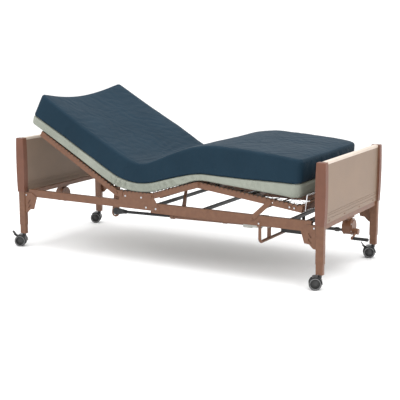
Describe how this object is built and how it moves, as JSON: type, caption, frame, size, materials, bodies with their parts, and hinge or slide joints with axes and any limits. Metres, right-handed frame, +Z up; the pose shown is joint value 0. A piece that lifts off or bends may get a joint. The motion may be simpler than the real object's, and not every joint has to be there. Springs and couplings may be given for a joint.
{
  "type": "adjustable hospital bed",
  "caption": "Adjustable home-care bed with a jointed link deck, foam mattress, electric head and knee actuators and crank-driven telescoping legs on casters.",
  "frame": {"origin": "on the floor, midway between the outer faces of the bed ends and on the bed's centre line", "axes": "+X towards the foot end, +Y towards the side away from the head actuator, +Z up"},
  "size_m": [2.4145, 0.9636, 1.0586],
  "materials": {
    "brown_paint": "satin",
    "black_paint": "satin",
    "panel_plastic": "satin",
    "trim_plastic": "satin",
    "zinc_steel": "satin",
    "chrome": "polished",
    "spring_wire": "satin",
    "grey_plastic": "satin",
    "black_plastic": "satin",
    "wheel_rubber": "matte",
    "mattress_blue": "matte",
    "mattress_grey": "matte"
  },
  "bodies": {
    "frame": {"head_side_rails": "brown_paint", "foot_side_rails": "brown_paint", "rail_cross_members": "black_paint", "seat_frame": "brown_paint", "seat_link_deck": "spring_wire", "mattress_seat_cover": "mattress_blue", "mattress_seat_base": "mattress_grey", "outer_leg_posts": "brown_paint", "post_trims": "trim_plastic", "head_panel": "panel_plastic", "foot_panel": "panel_plastic", "end_lower_rails": "brown_paint", "corner_brackets": "brown_paint", "gearbox_housings": "brown_paint", "motor_cradle": "brown_paint", "control_box": "black_plastic", "frame_fasteners": "zinc_steel"},
    "back": {"back_frame": "brown_paint", "back_link_deck": "spring_wire"},
    "mattress_back": {"mattress_back_cover": "mattress_blue", "mattress_back_base": "mattress_grey"},
    "thigh": {"thigh_frame": "brown_paint", "thigh_link_deck": "spring_wire", "mattress_thigh_cover": "mattress_blue", "mattress_thigh_base": "mattress_grey"},
    "calf": {"calf_frame": "brown_paint", "calf_link_deck": "spring_wire", "mattress_calf_cover": "mattress_blue", "mattress_calf_base": "mattress_grey", "mattress_retainer": "chrome"},
    "strut": {"foot_strut": "brown_paint"},
    "head_actuator": {"head_actuator_tube": "brown_paint", "head_motor": "grey_plastic"},
    "head_rod": {"head_push_rod": "black_paint"},
    "knee_actuator": {"knee_actuator_tube": "brown_paint", "knee_motor": "grey_plastic"},
    "knee_rod": {"knee_push_rod": "black_paint"},
    "crank_body": {"crank": "black_paint"},
    "grip_body": {"crank_grip": "black_plastic"},
    "drive_shaft_body": {"drive_shaft": "zinc_steel"},
    "head_cross_shaft_body": {"head_cross_shaft": "zinc_steel"},
    "foot_cross_shaft_body": {"foot_cross_shaft": "zinc_steel"},
    "leg_head_near": {"inner_leg_head_near": "brown_paint"},
    "screw_head_near": {"lead_screw_head_near": "zinc_steel"},
    "swivel_head_near": {"caster_swivel_head_near": "grey_plastic"},
    "wheels_head_near": {"caster_wheels_head_near": "wheel_rubber"},
    "leg_head_far": {"inner_leg_head_far": "brown_paint"},
    "screw_head_far": {"lead_screw_head_far": "zinc_steel"},
    "swivel_head_far": {"caster_swivel_head_far": "grey_plastic"},
    "wheels_head_far": {"caster_wheels_head_far": "wheel_rubber"},
    "leg_foot_near": {"inner_leg_foot_near": "brown_paint"},
    "screw_foot_near": {"lead_screw_foot_near": "zinc_steel"},
    "swivel_foot_near": {"caster_swivel_foot_near": "grey_plastic"},
    "wheels_foot_near": {"caster_wheels_foot_near": "wheel_rubber"},
    "leg_foot_far": {"inner_leg_foot_far": "brown_paint"},
    "screw_foot_far": {"lead_screw_foot_far": "zinc_steel"},
    "swivel_foot_far": {"caster_swivel_foot_far": "grey_plastic"},
    "wheels_foot_far": {"caster_wheels_foot_far": "wheel_rubber"},
    "brake_head_near": {"brake_lever_head_near": "black_plastic"},
    "brake_foot_far": {"brake_lever_foot_far": "black_plastic"}
  },
  "joints": [
    {"name": "back_tilt", "type": "hinge", "parent": "frame", "child": "back", "pos_m": [-0.32, 0, 0.441], "axis": [0, 1, 0], "range_deg": [-30, 35]},
    {"name": "mattress_creep", "type": "slide", "parent": "back", "child": "mattress_back", "axis": [-0.866, 0, 0.5], "range_m": [-0.0734, 0.0856]},
    {"name": "thigh_tilt", "type": "hinge", "parent": "frame", "child": "thigh", "pos_m": [-0.06, 0, 0.441], "axis": [0, -1, 0], "range_deg": [-17, 17]},
    {"name": "calf_fold", "type": "hinge", "parent": "thigh", "child": "calf", "pos_m": [0.27853, 0, 0.5445], "axis": [0, -1, 0], "range_deg": [-24, 24]},
    {"name": "strut_swing", "type": "hinge", "parent": "frame", "child": "strut", "pos_m": [0.65, 0, 0.374], "axis": [0, -1, 0], "range_deg": [-19.7, 19.7]},
    {"name": "head_actuator_tilt", "type": "hinge", "parent": "frame", "child": "head_actuator", "pos_m": [0.7, -0.306, 0.314], "axis": [0, -1, 0], "range_deg": [-3.6, 3.1]},
    {"name": "head_rod_stroke", "type": "slide", "parent": "head_actuator", "child": "head_rod", "axis": [-0.9997, 0, -0.0233], "range_m": [-0.082, 0.0955]},
    {"name": "knee_actuator_tilt", "type": "hinge", "parent": "frame", "child": "knee_actuator", "pos_m": [0.7, -0.11, 0.3], "axis": [0, -1, 0], "range_deg": [-0.95, 0.95]},
    {"name": "knee_rod_stroke", "type": "slide", "parent": "knee_actuator", "child": "knee_rod", "axis": [-1, 0, 0], "range_m": [-0.0425, 0.0425]},
    {"name": "crank_turn", "type": "hinge", "parent": "frame", "child": "crank_body", "pos_m": [1.0925, 0, 0.265], "axis": [1, 0, 0], "range_deg": [0, 11520]},
    {"name": "crank_grip_spin", "type": "hinge", "parent": "crank_body", "child": "grip_body", "pos_m": [1.2, -0.064, 0.235], "axis": [1, 0, 0], "continuous": true},
    {"name": "drive_shaft_turn", "type": "hinge", "parent": "frame", "child": "drive_shaft_body", "pos_m": [0, 0, 0.265], "axis": [1, 0, 0], "range_deg": [0, 11520]},
    {"name": "head_cross_shaft_turn", "type": "hinge", "parent": "frame", "child": "head_cross_shaft_body", "pos_m": [-1.0925, 0, 0.432], "axis": [0, 1, 0], "range_deg": [0, 11520]},
    {"name": "foot_cross_shaft_turn", "type": "hinge", "parent": "frame", "child": "foot_cross_shaft_body", "pos_m": [1.0925, 0, 0.432], "axis": [0, 1, 0], "range_deg": [0, 11520]},
    {"name": "leg_travel_head_near", "type": "slide", "parent": "frame", "child": "leg_head_near", "axis": [0, 0, -1], "range_m": [0, 0.2032]},
    {"name": "lead_screw_turn_head_near", "type": "hinge", "parent": "frame", "child": "screw_head_near", "pos_m": [-1.0925, -0.439, 0.3], "axis": [0, 0, 1], "range_deg": [0, 11520]},
    {"name": "caster_swivel_head_near", "type": "hinge", "parent": "leg_head_near", "child": "swivel_head_near", "pos_m": [-1.0925, -0.439, 0.09], "axis": [0, 0, 1], "continuous": true},
    {"name": "wheel_spin_head_near", "type": "hinge", "parent": "swivel_head_near", "child": "wheels_head_near", "pos_m": [-1.11606, -0.44999, 0.038], "axis": [-0.4226, 0.9063, 0], "continuous": true},
    {"name": "leg_travel_head_far", "type": "slide", "parent": "frame", "child": "leg_head_far", "axis": [0, 0, -1], "range_m": [0, 0.2032]},
    {"name": "lead_screw_turn_head_far", "type": "hinge", "parent": "frame", "child": "screw_head_far", "pos_m": [-1.0925, 0.439, 0.3], "axis": [0, 0, 1], "range_deg": [-11520, 0]},
    {"name": "caster_swivel_head_far", "type": "hinge", "parent": "leg_head_far", "child": "swivel_head_far", "pos_m": [-1.0925, 0.439, 0.09], "axis": [0, 0, 1], "continuous": true},
    {"name": "wheel_spin_head_far", "type": "hinge", "parent": "swivel_head_far", "child": "wheels_head_far", "pos_m": [-1.11606, 0.42801, 0.038], "axis": [-0.4226, 0.9063, 0], "continuous": true},
    {"name": "leg_travel_foot_near", "type": "slide", "parent": "frame", "child": "leg_foot_near", "axis": [0, 0, -1], "range_m": [0, 0.2032]},
    {"name": "lead_screw_turn_foot_near", "type": "hinge", "parent": "frame", "child": "screw_foot_near", "pos_m": [1.0925, -0.439, 0.3], "axis": [0, 0, 1], "range_deg": [0, 11520]},
    {"name": "caster_swivel_foot_near", "type": "hinge", "parent": "leg_foot_near", "child": "swivel_foot_near", "pos_m": [1.0925, -0.439, 0.09], "axis": [0, 0, 1], "continuous": true},
    {"name": "wheel_spin_foot_near", "type": "hinge", "parent": "swivel_foot_near", "child": "wheels_foot_near", "pos_m": [1.06894, -0.44999, 0.038], "axis": [-0.4226, 0.9063, 0], "continuous": true},
    {"name": "leg_travel_foot_far", "type": "slide", "parent": "frame", "child": "leg_foot_far", "axis": [0, 0, -1], "range_m": [0, 0.2032]},
    {"name": "lead_screw_turn_foot_far", "type": "hinge", "parent": "frame", "child": "screw_foot_far", "pos_m": [1.0925, 0.439, 0.3], "axis": [0, 0, 1], "range_deg": [-11520, 0]},
    {"name": "caster_swivel_foot_far", "type": "hinge", "parent": "leg_foot_far", "child": "swivel_foot_far", "pos_m": [1.0925, 0.439, 0.09], "axis": [0, 0, 1], "continuous": true},
    {"name": "wheel_spin_foot_far", "type": "hinge", "parent": "swivel_foot_far", "child": "wheels_foot_far", "pos_m": [1.06894, 0.42801, 0.038], "axis": [-0.4226, 0.9063, 0], "continuous": true},
    {"name": "brake_press_head_near", "type": "hinge", "parent": "swivel_head_near", "child": "brake_head_near", "pos_m": [-1.13963, -0.46098, 0.07], "axis": [0.4226, -0.9063, 0], "range_deg": [0, 25]},
    {"name": "brake_press_foot_far", "type": "hinge", "parent": "swivel_foot_far", "child": "brake_foot_far", "pos_m": [1.04537, 0.41702, 0.07], "axis": [0.4226, -0.9063, 0], "range_deg": [0, 25]}
  ],
  "couplings": [
    {"joint": "mattress_creep", "follows": "back_tilt", "m_per_rad": 0.14},
    {"joint": "calf_fold", "follows": "thigh_tilt", "ratio": -1.406},
    {"joint": "strut_swing", "follows": "thigh_tilt", "ratio": 1.1557},
    {"joint": "head_actuator_tilt", "follows": "back_tilt", "ratio": -0.1},
    {"joint": "head_rod_stroke", "follows": "back_tilt", "m_per_rad": 0.156},
    {"joint": "knee_actuator_tilt", "follows": "thigh_tilt", "ratio": -0.0545},
    {"joint": "knee_rod_stroke", "follows": "thigh_tilt", "m_per_rad": -0.14219},
    {"joint": "drive_shaft_turn", "follows": "crank_turn", "ratio": 1},
    {"joint": "head_cross_shaft_turn", "follows": "crank_turn", "ratio": 1},
    {"joint": "foot_cross_shaft_turn", "follows": "crank_turn", "ratio": 1},
    {"joint": "leg_travel_head_near", "follows": "crank_turn", "m_per_rad": 0.0010106},
    {"joint": "lead_screw_turn_head_near", "follows": "crank_turn", "ratio": 1},
    {"joint": "leg_travel_head_far", "follows": "crank_turn", "m_per_rad": 0.0010106},
    {"joint": "lead_screw_turn_head_far", "follows": "crank_turn", "ratio": -1},
    {"joint": "leg_travel_foot_near", "follows": "crank_turn", "m_per_rad": 0.0010106},
    {"joint": "lead_screw_turn_foot_near", "follows": "crank_turn", "ratio": 1},
    {"joint": "leg_travel_foot_far", "follows": "crank_turn", "m_per_rad": 0.0010106},
    {"joint": "lead_screw_turn_foot_far", "follows": "crank_turn", "ratio": -1}
  ]
}
